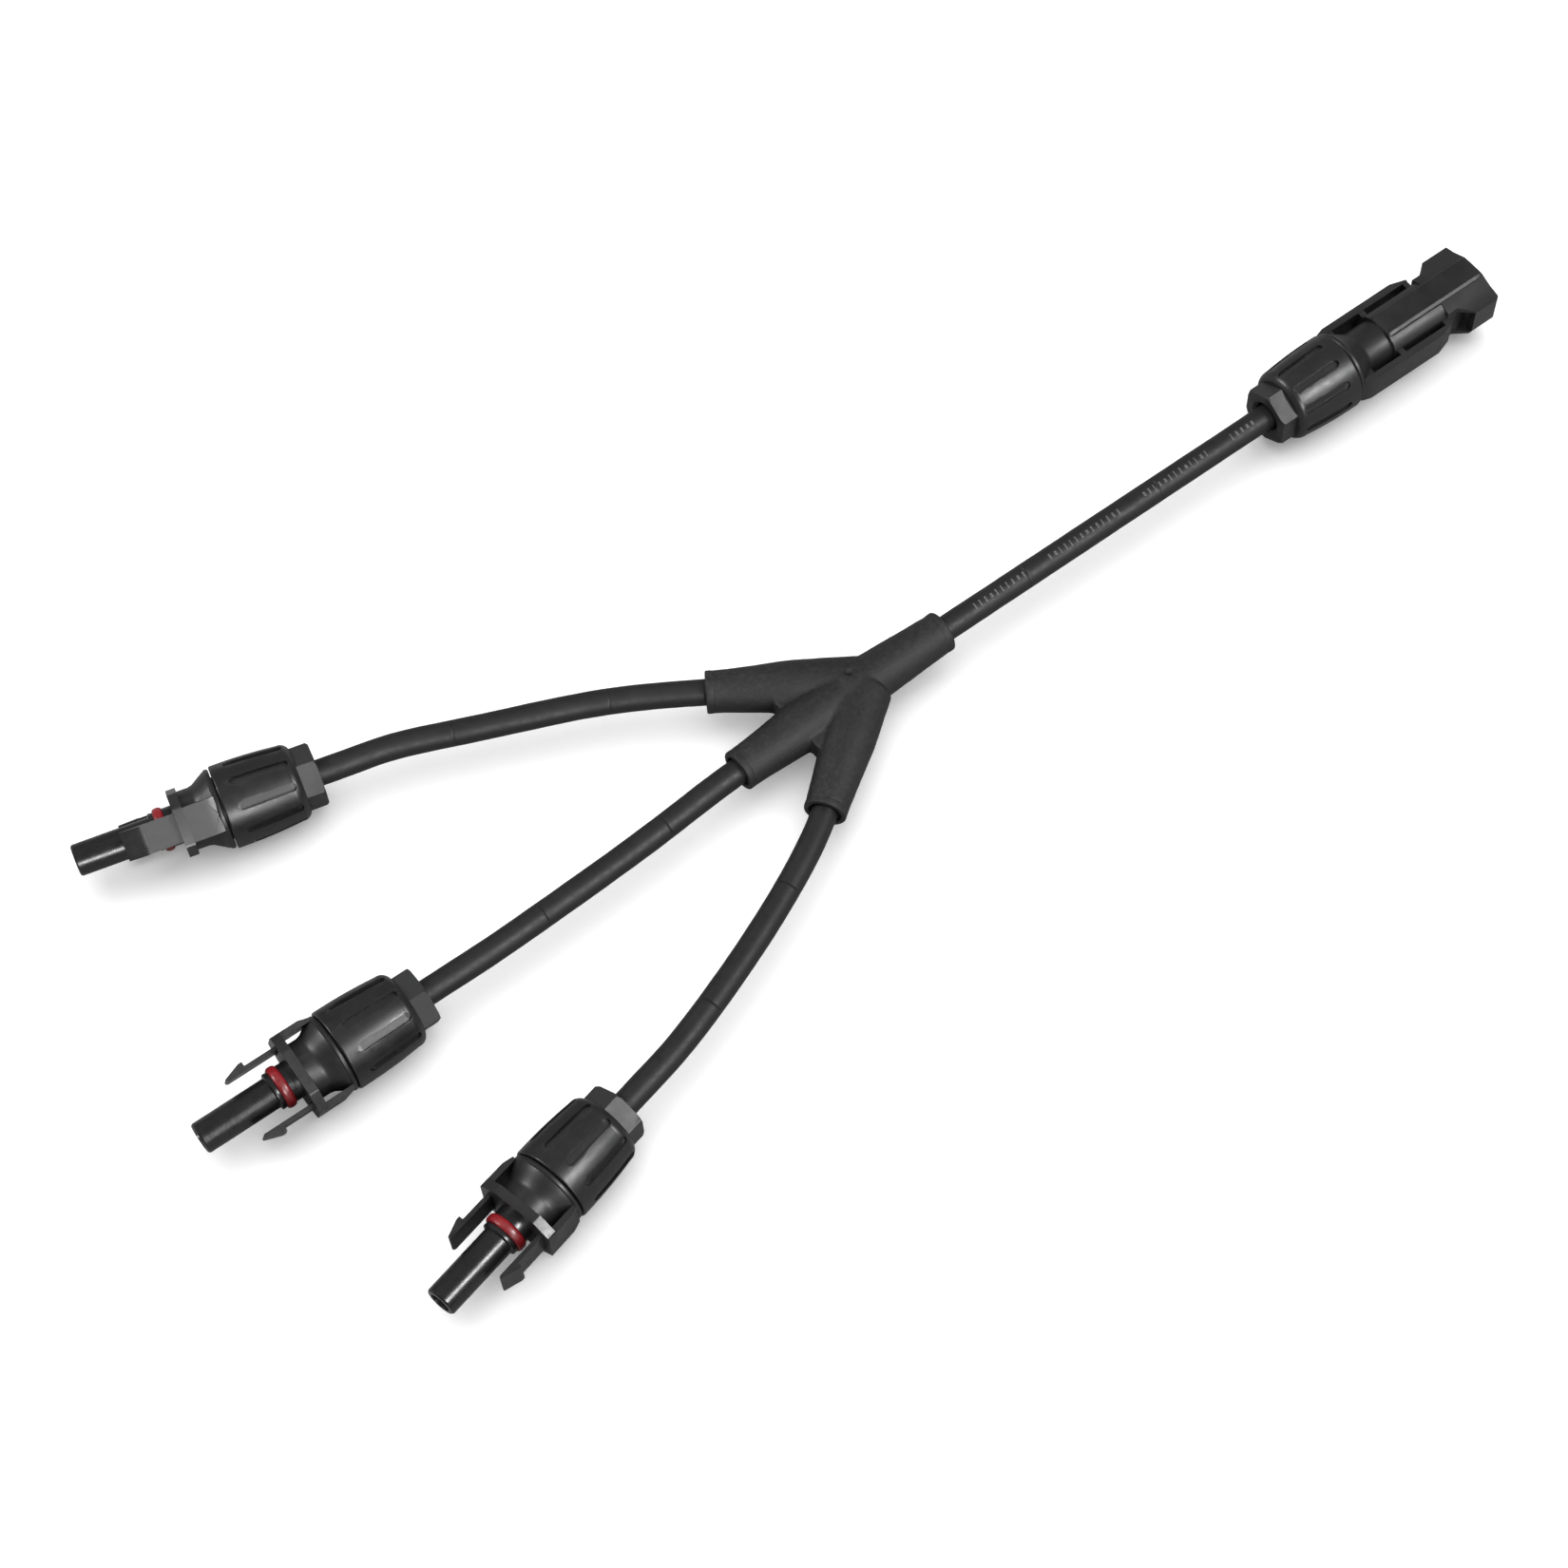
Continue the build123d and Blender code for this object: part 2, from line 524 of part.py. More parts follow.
def branch_moulding(cutters):
    body = taper((-1.0, 0), (TRUNK_ARM_END, 0), *TRUNK_ARM_R)
    body += ball((0, 0, 0), HUB_R, X_DIR)
    exits = [(Vector(TRUNK_ARM_END, 0, 0), X_DIR)]
    for leg in LEGS:
        start, end = Vector(leg.arm_start), Vector(leg.arm_end)
        unit = (end - start).normalized()
        body += ball(start, ARM_ROOT_R, X_DIR)
        body += along(start, unit, 0, ARM_KNEE, ARM_ROOT_R)
        body += taper(start + unit * ARM_KNEE, end, ARM_ROOT_R, ARM_END_R)
        exits.append((end, unit))
    for web in WEBS:
        body += slab_xy(web, WEB_HALF_Z)
    for cutter in cutters:
        body -= cutter
    room = [(y + FIT_GAP, z + FIT_GAP) for y, z in FERRULE]
    body -= prism_yz(mirrored(room), FERRULE_X[0] - FIT_GAP, FERRULE_X[1] + FIT_GAP)
    # shallow recess round each cable exit
    for end, unit in exits:
        body -= along(end, unit, -EXIT_RECESS_DEPTH, 3.0, EXIT_RECESS_R)
    return body


def save_branch():
    jackets, cores, cutters = zip(*[leg_stub(leg) for leg in LEGS], trunk_stub())
    for name, stubs in (("jackets", jackets), ("conductors", cores)):
        solids = [solid for stub in stubs for solid in stub.solids()]
        save(f"moulded_in_{name}", Compound(children=solids))
    save("splice_ferrule", splice_ferrule())
    save("branch_moulding", branch_moulding([cut for group in cutters for cut in group]))


for each_leg in LEGS:
    save_leg_cable(each_leg)
save_trunk_cable()
save_connectors()
save_branch()
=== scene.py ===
# A three-way cable splitter lying flat in the XY plane, +Z up. The rubber branch moulding sits at
# the origin; the trunk cable runs along +X to a socket, and three legs fan out towards -X (leg 1
# on the +Y side, leg 3 on the -Y side), each ending in a plug. Lengths are in millimetres and
# are turned into metres by MM.
import bpy, bmesh, json, math
import numpy as np
from fnmatch import fnmatchcase
from mathutils import Vector, Matrix, noise


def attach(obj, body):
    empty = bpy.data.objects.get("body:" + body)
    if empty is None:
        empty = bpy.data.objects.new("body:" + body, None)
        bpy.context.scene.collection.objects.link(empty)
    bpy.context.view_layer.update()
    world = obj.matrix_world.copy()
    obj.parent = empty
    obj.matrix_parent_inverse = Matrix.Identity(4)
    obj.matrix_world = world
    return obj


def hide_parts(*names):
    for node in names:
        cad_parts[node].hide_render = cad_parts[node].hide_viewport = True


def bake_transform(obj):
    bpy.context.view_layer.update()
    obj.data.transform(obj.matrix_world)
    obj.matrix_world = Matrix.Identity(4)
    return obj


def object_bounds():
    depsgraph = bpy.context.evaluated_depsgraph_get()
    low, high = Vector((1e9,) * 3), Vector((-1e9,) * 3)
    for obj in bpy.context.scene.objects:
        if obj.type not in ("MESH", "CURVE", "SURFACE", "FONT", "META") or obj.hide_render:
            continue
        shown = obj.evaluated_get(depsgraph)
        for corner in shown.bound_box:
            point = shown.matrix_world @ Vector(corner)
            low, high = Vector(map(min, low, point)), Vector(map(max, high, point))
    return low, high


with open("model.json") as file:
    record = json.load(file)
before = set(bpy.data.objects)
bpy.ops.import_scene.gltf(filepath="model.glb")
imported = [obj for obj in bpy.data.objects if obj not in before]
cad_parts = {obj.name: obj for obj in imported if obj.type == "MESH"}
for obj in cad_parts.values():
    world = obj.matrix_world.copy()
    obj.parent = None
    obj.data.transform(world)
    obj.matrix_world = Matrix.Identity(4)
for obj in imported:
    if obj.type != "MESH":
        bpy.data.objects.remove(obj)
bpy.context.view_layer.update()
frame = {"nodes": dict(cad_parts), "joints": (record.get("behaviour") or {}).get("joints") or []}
MM = 0.001
nodes = frame["nodes"]
joints = {j["name"]: j for j in frame["joints"]}

# ------------------------------------------------------------------------------------------------
# layout
# ------------------------------------------------------------------------------------------------


def joint_point(name):
    position = joints[name]["pos_m"]
    return position[0] / MM, position[1] / MM


def step(point, way, distance):
    return point[0] + way[0] * distance, point[1] + way[1] * distance


def heading(start, end):
    """Unit direction from one planar point to another."""
    x, y = end[0] - start[0], end[1] - start[1]
    length = math.hypot(x, y)
    return x / length, y / length


LEGS = "123"

# gland nuts: centre and direction towards the connector's free end
NUTS = {}
for key in (*LEGS, "trunk"):
    axis = joints[f"gland_nut_{key}_turn"]["axis"]
    outward = (-axis[0], -axis[1])
    if key == "trunk" and outward[0] < 0:  # the trunk's axis may point either way
        outward = (1.0, 0.0)
    NUTS[key] = (joint_point(f"gland_nut_{key}_turn"), outward)
SOCKET_X = NUTS["trunk"][0][0]

# where each leg passes between its three bend joints: (x, y) after the first and the second
WAYPOINTS = {
    "1": [(-44.07, 30.95), (-76.3, 45.6)],
    "2": [(-53.0, -2.5), (-86.6, -4.0)],
    "3": [(-41.1, -31.1), (-71.2, -43.6)],
}

# arms of the branch moulding: (x, y) of the root and of the mouth
ARMS = {
    "1": ((2.5, 1.0), (-25.8, 19.7)),
    "2": ((2.0, 0.0), (-32.4, -1.1)),
    "3": ((2.5, -1.8), (-23.7, -21.3)),
    "trunk": ((-1.5, 0.0), (25.9, 0.0)),
}
LEG_ROOT_RADIUS = 6.05
LEG_MOUTH_RADIUS = 4.80
TRUNK_ROOT_RADIUS = 6.15
TRUNK_RIM_RADIUS = 4.86
RIM_LENGTH = 1.3  # the arm bodies stop this far short of the mouths, where the rims take over
GATE_MARK = (0.4, 1.3)  # pit in the upper side of the branch moulding

JACKET_RADIUS = 3.0
JACKET_REACH = 18.0  # how far the jackets run outward past the nut centres
TRUNK_JACKET_START = 15.5
RING_STEP = 0.6  # spacing of the rings along a jacket
TUCK = 2  # rings of a jacket length that slip inside the next one

# ------------------------------------------------------------------------------------------------
# materials
# ------------------------------------------------------------------------------------------------


class Material:
    """Builds a node material; textures are placed in millimetres of object space if mapped."""

    def __init__(self, name, mapped=True):
        self.material = bpy.data.materials.new(name)
        self.material.use_nodes = True
        self.tree = self.material.node_tree
        self.shader = self.tree.nodes["Principled BSDF"]
        self.normal = None
        if mapped:
            coordinates = self.node("TexCoord").outputs["Object"]
            self.place = self.scaled(coordinates, (1 / MM, 1 / MM, 1 / MM))

    def feed(self, socket, value):
        """Link an output to a socket, or set the socket's own value."""
        if isinstance(value, bpy.types.NodeSocket):
            self.tree.links.new(value, socket)
        elif socket.type == "RGBA":
            socket.default_value = (*value, 1)
        else:
            socket.default_value = value

    def node(self, kind, inputs=None, **settings):
        node = self.tree.nodes.new("ShaderNode" + kind)
        for key, value in settings.items():
            setattr(node, key, value)
        for key, value in (inputs or {}).items():
            self.feed(node.inputs[key], value)
        return node

    def set(self, name, value):
        self.feed(self.shader.inputs[name], value)

    def scaled(self, vector, scale):
        return self.node("Mapping", {"Scale": scale, "Vector": vector}).outputs["Vector"]

    def noise(self, scale, detail, rough, distortion=0.0, place=None):
        return self.node("TexNoise", {
            "Scale": scale, "Detail": detail, "Roughness": rough, "Distortion": distortion,
            "Vector": place or self.place,
        }).outputs["Fac"]

    def ramp(self, factor, stops):
        """Colour ramp from a {position: colour} table."""
        node = self.node("ValToRGB", {"Fac": factor})
        elements = node.color_ramp.elements
        while len(elements) < len(stops):
            elements.new(0.5)
        for element, (position, color) in zip(elements, stops.items()):
            element.position = position
            element.color = (*color, 1)
        return node.outputs["Color"]

    def remap(self, value, span, to=(0.0, 1.0)):
        return self.node("MapRange", {
            "From Min": span[0], "From Max": span[1], "To Min": to[0], "To Max": to[1],
            "Value": value,
        }).outputs["Result"]

    def math(self, operation, *values):
        node = self.node("Math", dict(enumerate(values)), operation=operation)
        return node.outputs[0]

    def times(self, a, b):
        return self.math("MULTIPLY", a, b)

    def mix(self, factor, a, b):
        # on the colour version of the node, sockets 6 and 7 are the two colours
        return self.node("Mix", {0: factor, 6: a, 7: b}, data_type="RGBA").outputs[2]

    def bump(self, height, depth, strength):
        """Lay a bump of the given depth in millimetres over those already there."""
        node = self.node("Bump", {"Strength": strength, "Distance": depth * MM, "Height": height})
        if self.normal is not None:
            self.feed(node.inputs["Normal"], self.normal)
        self.normal = node.outputs["Normal"]
        self.set("Normal", self.normal)

    def distance(self, point):
        """Distance in the XY plane from a point."""
        flat = self.node("VectorMath", {0: self.place, 1: (1, 1, 0)}, operation="MULTIPLY")
        inputs = {0: flat.outputs[0], 1: (*point, 0)}
        return self.node("VectorMath", inputs, operation="DISTANCE").outputs["Value"]

    def along(self, point, way):
        """Distance from a point along a planar direction."""
        dot = self.node("VectorMath", {0: self.place, 1: (*way, 0)}, operation="DOT_PRODUCT")
        return self.math("SUBTRACT", dot.outputs["Value"], point[0] * way[0] + point[1] * way[1])


def brighter(color, gain):
    return tuple(min(1, channel * gain) for channel in color)


NOSE_OFFSET = 45.0  # from a nut's centre to the middle of the plug's nose tube
NOSE_REACH = 12.3
NUT_REACH = 14.0
FLATS_END = 4.6  # the spanner flats end this far outward of the nut's centre


def plastic(name, dark, light, rough, grain=1.0, noses=(), nuts=()):
    """Glass-filled plastic: spark-eroded grain, flow clouding, slightly polished edges.

    It is smoother round the given noses and rougher on the flats of the given nuts.
    """
    m = Material(name)
    clouds = m.noise(scale=0.16, detail=4, rough=0.6)
    fine = m.noise(scale=5.5, detail=2, rough=0.5)
    base = m.ramp(clouds, {0.30: dark, 0.72: light})
    specks = m.remap(m.noise(scale=9.0, detail=1, rough=0.5), span=(0.62, 0.78))
    base = m.mix(m.times(specks, 0.25), base, brighter(light, gain=2.6))
    edge = m.remap(m.node("NewGeometry").outputs["Pointiness"], span=(0.515, 0.60))
    base = m.mix(m.times(edge, 0.35), base, brighter(light, gain=2.4))
    m.set("Base Color", base)

    gloss = m.remap(m.noise(scale=0.55, detail=5, rough=0.65), span=(0.3, 0.7), to=rough)
    streaked = m.scaled(m.place, (0.35, 3.2, 3.2))  # stretched along X
    scratch = m.noise(scale=1.0, detail=3, rough=0.6, place=streaked)
    gloss = m.math("ADD", gloss, m.remap(scratch, span=(0.62, 0.75), to=(0.0, 0.12)))
    gloss = m.math("SUBTRACT", gloss, m.times(edge, 0.08))
    nose_polish, flats_roughening = 0.13, 0.17
    for nose in noses:
        near = m.math("LESS_THAN", m.distance(nose), NOSE_REACH)
        gloss = m.math("SUBTRACT", gloss, m.times(near, nose_polish))
    for centre, way in nuts:
        near = m.math("LESS_THAN", m.distance(centre), NUT_REACH)
        flats = m.times(near, m.math("LESS_THAN", m.along(centre, way), FLATS_END))
        gloss = m.math("ADD", gloss, m.times(flats, flats_roughening))
    m.set("Roughness", gloss)
    m.set("Specular IOR Level", 0.5)
    m.bump(fine, depth=0.012 * grain, strength=0.9)
    m.bump(m.noise(scale=0.9, detail=3, rough=0.5), depth=0.03, strength=0.35)
    return m.material


# printed marks on the trunk: bars side by side along X, in groups
MARK_PITCH = 1.55
MARK_START = 0.35  # of a bar within its pitch
MARK_WIDTHS = (0.25, 0.75)
MARK_HALF_HEIGHTS = (0.85, 0.45)  # the wider the bar, the shorter
MARK_Y = -0.75  # middle of the row
GROUP_PITCH = 27.0
GROUP_SHIFT = 4.0
GROUP_GAP = 0.22  # share of the group pitch left blank
MARK_ABOVE_Z = 0.5
MARKS_FROM_X, MARKS_TO_X = 34.0, 117.5


def printed_marks(m):
    """Mask of the marks on the upper side of the trunk."""
    x, y, z = m.node("SeparateXYZ", {0: m.place}).outputs
    cell = m.math("FLOOR", m.math("DIVIDE", x, MARK_PITCH))
    random = m.node("TexWhiteNoise", noise_dimensions="1D")
    m.feed(random.inputs["W"], cell)
    random = random.outputs["Value"]
    local = m.times(m.math("FRACT", m.math("DIVIDE", x, MARK_PITCH)), MARK_PITCH)
    width = m.remap(random, span=(0, 1), to=MARK_WIDTHS)
    bar_end = m.math("ADD", width, MARK_START)
    bar_start = m.math("GREATER_THAN", local, MARK_START)
    bar = m.times(bar_start, m.math("LESS_THAN", local, bar_end))
    half_height = m.remap(random, span=(0, 1), to=MARK_HALF_HEIGHTS)
    off_middle = m.math("ABSOLUTE", m.math("ADD", y, -MARK_Y))
    inside = m.math("LESS_THAN", off_middle, half_height)
    group = m.math("FRACT", m.math("DIVIDE", m.math("ADD", x, GROUP_SHIFT), GROUP_PITCH))
    grouped = m.math("GREATER_THAN", group, GROUP_GAP)
    upper = m.math("GREATER_THAN", z, MARK_ABOVE_Z)
    past_start = m.math("GREATER_THAN", x, MARKS_FROM_X)
    in_range = m.times(past_start, m.math("LESS_THAN", x, MARKS_TO_X))
    return m.times(m.times(bar, inside), m.times(grouped, m.times(upper, in_range)))


def cable_jacket_material():
    """Matte black cable jacket with clouding, dust and printed marks on the trunk."""
    m = Material("cable_jacket")
    base = m.ramp(m.noise(scale=0.22, detail=5, rough=0.65), {
        0.25: (0.0070, 0.0070, 0.0075),
        0.75: (0.0130, 0.0130, 0.0135),
    })
    dust = m.noise(scale=1.6, detail=6, rough=0.75)
    dust = m.remap(dust, span=(0.60, 0.82), to=(0.0, 0.30))
    base = m.mix(dust, base, (0.040, 0.040, 0.042))
    marks = printed_marks(m)
    worn = m.noise(scale=3.5, detail=4, rough=0.7)
    worn = m.remap(worn, span=(0.40, 0.60), to=(0.35, 0.95))
    m.set("Base Color", m.mix(m.times(marks, worn), base, (0.16, 0.16, 0.157)))
    gloss = m.noise(scale=0.8, detail=4, rough=0.6)
    m.set("Roughness", m.remap(gloss, span=(0.3, 0.7), to=(0.46, 0.62)))
    m.set("Specular IOR Level", 0.42)
    m.bump(m.noise(scale=6.0, detail=3, rough=0.6), depth=0.010, strength=0.8)
    m.bump(m.noise(scale=0.45, detail=4, rough=0.6), depth=0.05, strength=0.35)
    return m.material


def branch_rubber_material():
    """Over-moulded rubber: matte, mottled, with the fine wrinkled skin of a cast part."""
    m = Material("branch_rubber")
    mottle = m.noise(scale=1.1, detail=7, rough=0.72, distortion=0.6)
    clouds = m.noise(scale=0.12, detail=4, rough=0.55)
    base = m.ramp(mottle, {
        0.30: (0.0060, 0.0060, 0.0065),
        0.50: (0.0125, 0.0125, 0.0130),
        0.74: (0.0420, 0.0420, 0.0430),
    })
    clouds = m.remap(clouds, span=(0.35, 0.7), to=(0.0, 0.40))
    base = m.mix(clouds, base, (0.0085, 0.0085, 0.0090))
    # darker towards the middle, and painted shade in the gate pit: near-black colour fills the
    # recess
    middle = m.remap(m.distance((-4.0, 0.0)), span=(6.0, 26.0), to=(0.45, 0.0))
    base = m.mix(middle, base, (0.0050, 0.0050, 0.0055))
    # painted shade: the gate pit's recess is filled with near-black colour
    gate = m.remap(m.distance(GATE_MARK), span=(0.45, 0.75), to=(0.92, 0.0))
    base = m.mix(gate, base, (0.0012, 0.0012, 0.0012))
    m.set("Base Color", base)
    m.set("Roughness", m.remap(mottle, span=(0.25, 0.75), to=(0.50, 0.74)))
    m.set("Specular IOR Level", 0.45)
    wrinkles = m.noise(scale=2.6, detail=6, rough=0.7, distortion=0.8)
    m.bump(wrinkles, depth=0.085, strength=0.9)
    m.bump(m.noise(scale=9.0, detail=3, rough=0.6), depth=0.02, strength=0.7)
    return m.material


def seal(name, dark, light):
    """Smooth, slightly translucent rubber."""
    m = Material(name)
    m.set("Base Color", m.ramp(m.noise(scale=0.7, detail=4, rough=0.6), {0.3: dark, 0.75: light}))
    gloss = m.noise(scale=1.4, detail=4, rough=0.6)
    m.set("Roughness", m.remap(gloss, span=(0.3, 0.7), to=(0.26, 0.42)))
    m.set("Subsurface Weight", 0.12)
    m.set("Subsurface Radius", (0.001, 0.0003, 0.0002))
    m.bump(m.noise(scale=7.0, detail=2, rough=0.5), depth=0.012, strength=0.6)
    m.bump(m.noise(scale=0.8, detail=3, rough=0.5), depth=0.05, strength=0.3)
    return m.material


def tin_material():
    m = Material("contact_tin")
    m.set("Base Color", m.ramp(m.noise(scale=0.5, detail=5, rough=0.65), {
        0.3: (0.62, 0.61, 0.58),
        0.72: (0.82, 0.81, 0.78),
    }))
    m.set("Metallic", 1.0)
    gloss = m.noise(scale=2.0, detail=5, rough=0.7)
    m.set("Roughness", m.remap(gloss, span=(0.3, 0.7), to=(0.18, 0.34)))
    m.bump(m.noise(scale=8.0, detail=3, rough=0.6), depth=0.006, strength=0.8)
    return m.material


def strand_material():
    """Twisted fine copper strands, seen at a bare conductor."""
    m = Material("conductor_strands")
    inputs = {"Scale": 1.6, "Distortion": 1.0, "Vector": m.place}
    wave = m.node("TexWave", inputs, wave_type="BANDS", bands_direction="DIAGONAL")
    wave = wave.outputs["Fac"]
    m.set("Base Color", m.ramp(wave, {0.1: (0.42, 0.20, 0.10), 0.7: (0.78, 0.45, 0.28)}))
    m.set("Metallic", 1.0)
    gloss = m.noise(scale=3.0, detail=4, rough=0.6)
    m.set("Roughness", m.remap(gloss, span=(0.3, 0.7), to=(0.22, 0.4)))
    m.bump(wave, depth=0.12, strength=0.8)
    return m.material


HOUSING = plastic(
    "housing_plastic", dark=(0.0085, 0.0085, 0.0090), light=(0.0150, 0.0150, 0.0155),
    rough=(0.37, 0.46), noses=[step(*NUTS[key], NOSE_OFFSET) for key in LEGS],
)
NUT = plastic(
    "nut_plastic", dark=(0.0100, 0.0100, 0.0105), light=(0.0170, 0.0170, 0.0175),
    rough=(0.33, 0.42), grain=0.9, nuts=NUTS.values(),
)
LATCH = plastic(
    "latch_plastic", dark=(0.0100, 0.0100, 0.0105), light=(0.0180, 0.0180, 0.0185),
    rough=(0.33, 0.46), grain=0.8,
)
CLAW = plastic(
    "claw_plastic", dark=(0.05, 0.05, 0.055), light=(0.09, 0.09, 0.095), rough=(0.4, 0.55),
)
JACKET = cable_jacket_material()
RUBBER = branch_rubber_material()
RED_SEAL = seal("seal_red", dark=(0.21, 0.008, 0.012), light=(0.31, 0.014, 0.020))
DARK_SEAL = seal("seal_dark", dark=(0.045, 0.045, 0.05), light=(0.075, 0.075, 0.08))
TIN = tin_material()
COPPER = strand_material()

# CAD piece name pattern and its material; the first match counts
PIECE_MATERIALS = [
    ("gland_nut*", NUT),
    ("claw_cage*", CLAW),
    ("gland_seal*", DARK_SEAL),
    ("nose_seal*", RED_SEAL),
    ("latch_arm*", LATCH),
    ("*contact*", TIN),
    ("splice_ferrule", TIN),
    ("*conductor*", COPPER),
    ("*jacket*", JACKET),
    ("branch_moulding", RUBBER),
    ("*", HOUSING),
]


def assign(obj, material):
    obj.data.materials.clear()
    obj.data.materials.append(material)


for name, piece in nodes.items():
    assign(piece, next(mat for pattern, mat in PIECE_MATERIALS if fnmatchcase(name, pattern)))

# ------------------------------------------------------------------------------------------------
# mesh helpers
# ------------------------------------------------------------------------------------------------


def link_object(name, mesh):
    obj = bpy.data.objects.new(name, mesh)
    bpy.context.scene.collection.objects.link(obj)
    return obj


def shade_smooth(mesh):
    mesh.polygons.foreach_set("use_smooth", [True] * len(mesh.polygons))


def smooth_object(name, verts, faces, material):
    mesh = bpy.data.meshes.new(name)
    mesh.from_pydata([tuple(v) for v in verts], [], faces)
    mesh.update()
    shade_smooth(mesh)
    mesh.materials.append(material)
    return link_object(name, mesh)


def finish_bmesh(bm, mesh):
    """Turn the faces outward, write the bmesh into the mesh and free it."""
    bmesh.ops.recalc_face_normals(bm, faces=bm.faces)
    bm.to_mesh(mesh)
    bm.free()
    return mesh


def tube(points, radius, segments):
    """Closed tube round planar points, with rings square to the path.

    radius(ring, angle) is in millimetres; the vertices returned are in metres.
    """
    path = [Vector((x * MM, y * MM, 0.0)) for x, y in points]
    last = len(path) - 1
    up = Vector((0, 0, 1))
    verts, faces = [], []
    for i, centre in enumerate(path):
        tangent = (path[min(i + 1, last)] - path[max(i - 1, 0)]).normalized()
        side = up.cross(tangent).normalized()
        for k in range(segments):
            angle = 2 * math.pi * k / segments
            spoke = side * math.cos(angle) + up * math.sin(angle)
            verts.append(centre + spoke * (radius(i, angle) * MM))
    for i in range(last):
        here, ahead = i * segments, (i + 1) * segments
        for k in range(segments):
            k2 = (k + 1) % segments
            faces.append((ahead + k, ahead + k2, here + k2, here + k))
    faces.append(tuple(range(segments)))
    faces.append(tuple(reversed(range(last * segments, (last + 1) * segments))))
    return verts, faces


def axes_matrix(origin, x, y, z):
    return Matrix.Translation(origin) @ Matrix((x, y, z)).transposed().to_4x4()


def round_edges(obj, width, segments, angle=32.0):
    weld = obj.modifiers.new("join_faces", "WELD")
    weld.merge_threshold = 0.002 * MM
    bevel = obj.modifiers.new("edge_round", "BEVEL")
    bevel.width = width * MM
    bevel.segments = segments
    bevel.limit_method = "ANGLE"
    bevel.angle_limit = math.radians(angle)
    bevel.use_clamp_overlap = True
    bevel.harden_normals = False
    bevel.miter_outer = "MITER_SHARP"
    normals = obj.modifiers.new("even_shading", "WEIGHTED_NORMAL")
    normals.mode = "FACE_AREA_WITH_ANGLE"
    normals.weight = 60
    normals.keep_sharp = False


# ------------------------------------------------------------------------------------------------
# cable jackets: each cable in three lengths
# ------------------------------------------------------------------------------------------------
rng = np.random.default_rng(7)


def spline(points, start_way, end_way):
    """Cubic spline through planar points with given end tangents, sampled every RING_STEP."""
    points = np.array(points, float)
    chords = points[1:] - points[:-1]
    knots = np.r_[0, np.cumsum(np.hypot(*chords.T))]
    gaps = np.diff(knots)
    n = len(points)
    # solve for the second derivatives at the knots
    system = np.zeros((n, n))
    right = np.zeros((n, 2))
    system[0, 0], system[0, 1] = 2 * gaps[0], gaps[0]
    right[0] = 6 * (chords[0] / gaps[0] - np.array(start_way))
    system[-1, -1], system[-1, -2] = 2 * gaps[-1], gaps[-1]
    right[-1] = 6 * (np.array(end_way) - chords[-1] / gaps[-1])
    for i in range(1, n - 1):
        before, after = gaps[i - 1], gaps[i]
        system[i, i - 1], system[i, i], system[i, i + 1] = before, 2 * (before + after), after
        right[i] = 6 * (chords[i] / after - chords[i - 1] / before)
    curvature = np.linalg.solve(system, right)

    samples = []
    total = knots[-1]
    for s in np.linspace(0, total, int(round(total / RING_STEP)) + 1):
        i = min(n - 2, max(0, int(np.searchsorted(knots, s) - 1)))
        gap = gaps[i]
        a, b = (knots[i + 1] - s) / gap, (s - knots[i]) / gap
        bend = (a**3 - a) * curvature[i] + (b**3 - b) * curvature[i + 1]
        samples.append(a * points[i] + b * points[i + 1] + bend * gap**2 / 6)
    return np.array(samples)


def nearest(path, point):
    return int(np.argmin(np.hypot(path[:, 0] - point[0], path[:, 1] - point[1])))


def jacket_length(name, points, tuck):
    """One slightly uneven length of jacket; its last `tuck` rings slip inside the next length."""
    end = len(points) - 1 - tuck
    phase = rng.uniform(0, 6, 4)  # four are drawn, three are used

    def radius(i, angle):
        if i > end:
            return JACKET_RADIUS - 0.06
        fade = min(1.0, min(i, end - i) / 6.0)  # no unevenness at the ends, so neighbours meet
        uneven = (
            0.018 * math.sin(i * 0.21 + phase[0])
            + 0.012 * math.sin(i * 0.53 + 2 * angle + phase[1])
            + 0.010 * math.sin(3 * angle + i * 0.08 + phase[2])
        )
        return JACKET_RADIUS - 0.02 + fade * uneven * 0.7

    obj = smooth_object(name, *tube(points, radius, segments=56), JACKET)
    for cap in (-1, -2):  # flat end caps, so that the shading runs on across the seam
        obj.data.polygons[cap].use_smooth = False
    return obj


def cable_jacket(cable, path, splits, root_hides=()):
    """Jacket of one cable, cut near the two points given in splits."""
    first, second = (nearest(path, split) for split in splits)
    lengths = [
        ("root", path[: first + TUCK + 1], TUCK, root_hides),
        ("middle", path[first : second + TUCK + 1], TUCK, ()),
        ("end", path[second:], 0, ()),
    ]
    for i, (length, points, tuck, hides) in enumerate(lengths):
        obj = jacket_length(f"{cable}_jacket_{length}", points, tuck)
        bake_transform(obj)
        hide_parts(f"{cable}_jacket_{'abc'[i]}", *hides)


def bend_joints(cable):
    return [joint_point(f"{cable}_{joint}") for joint in ("bend", "bend_mid", "bend_end")]


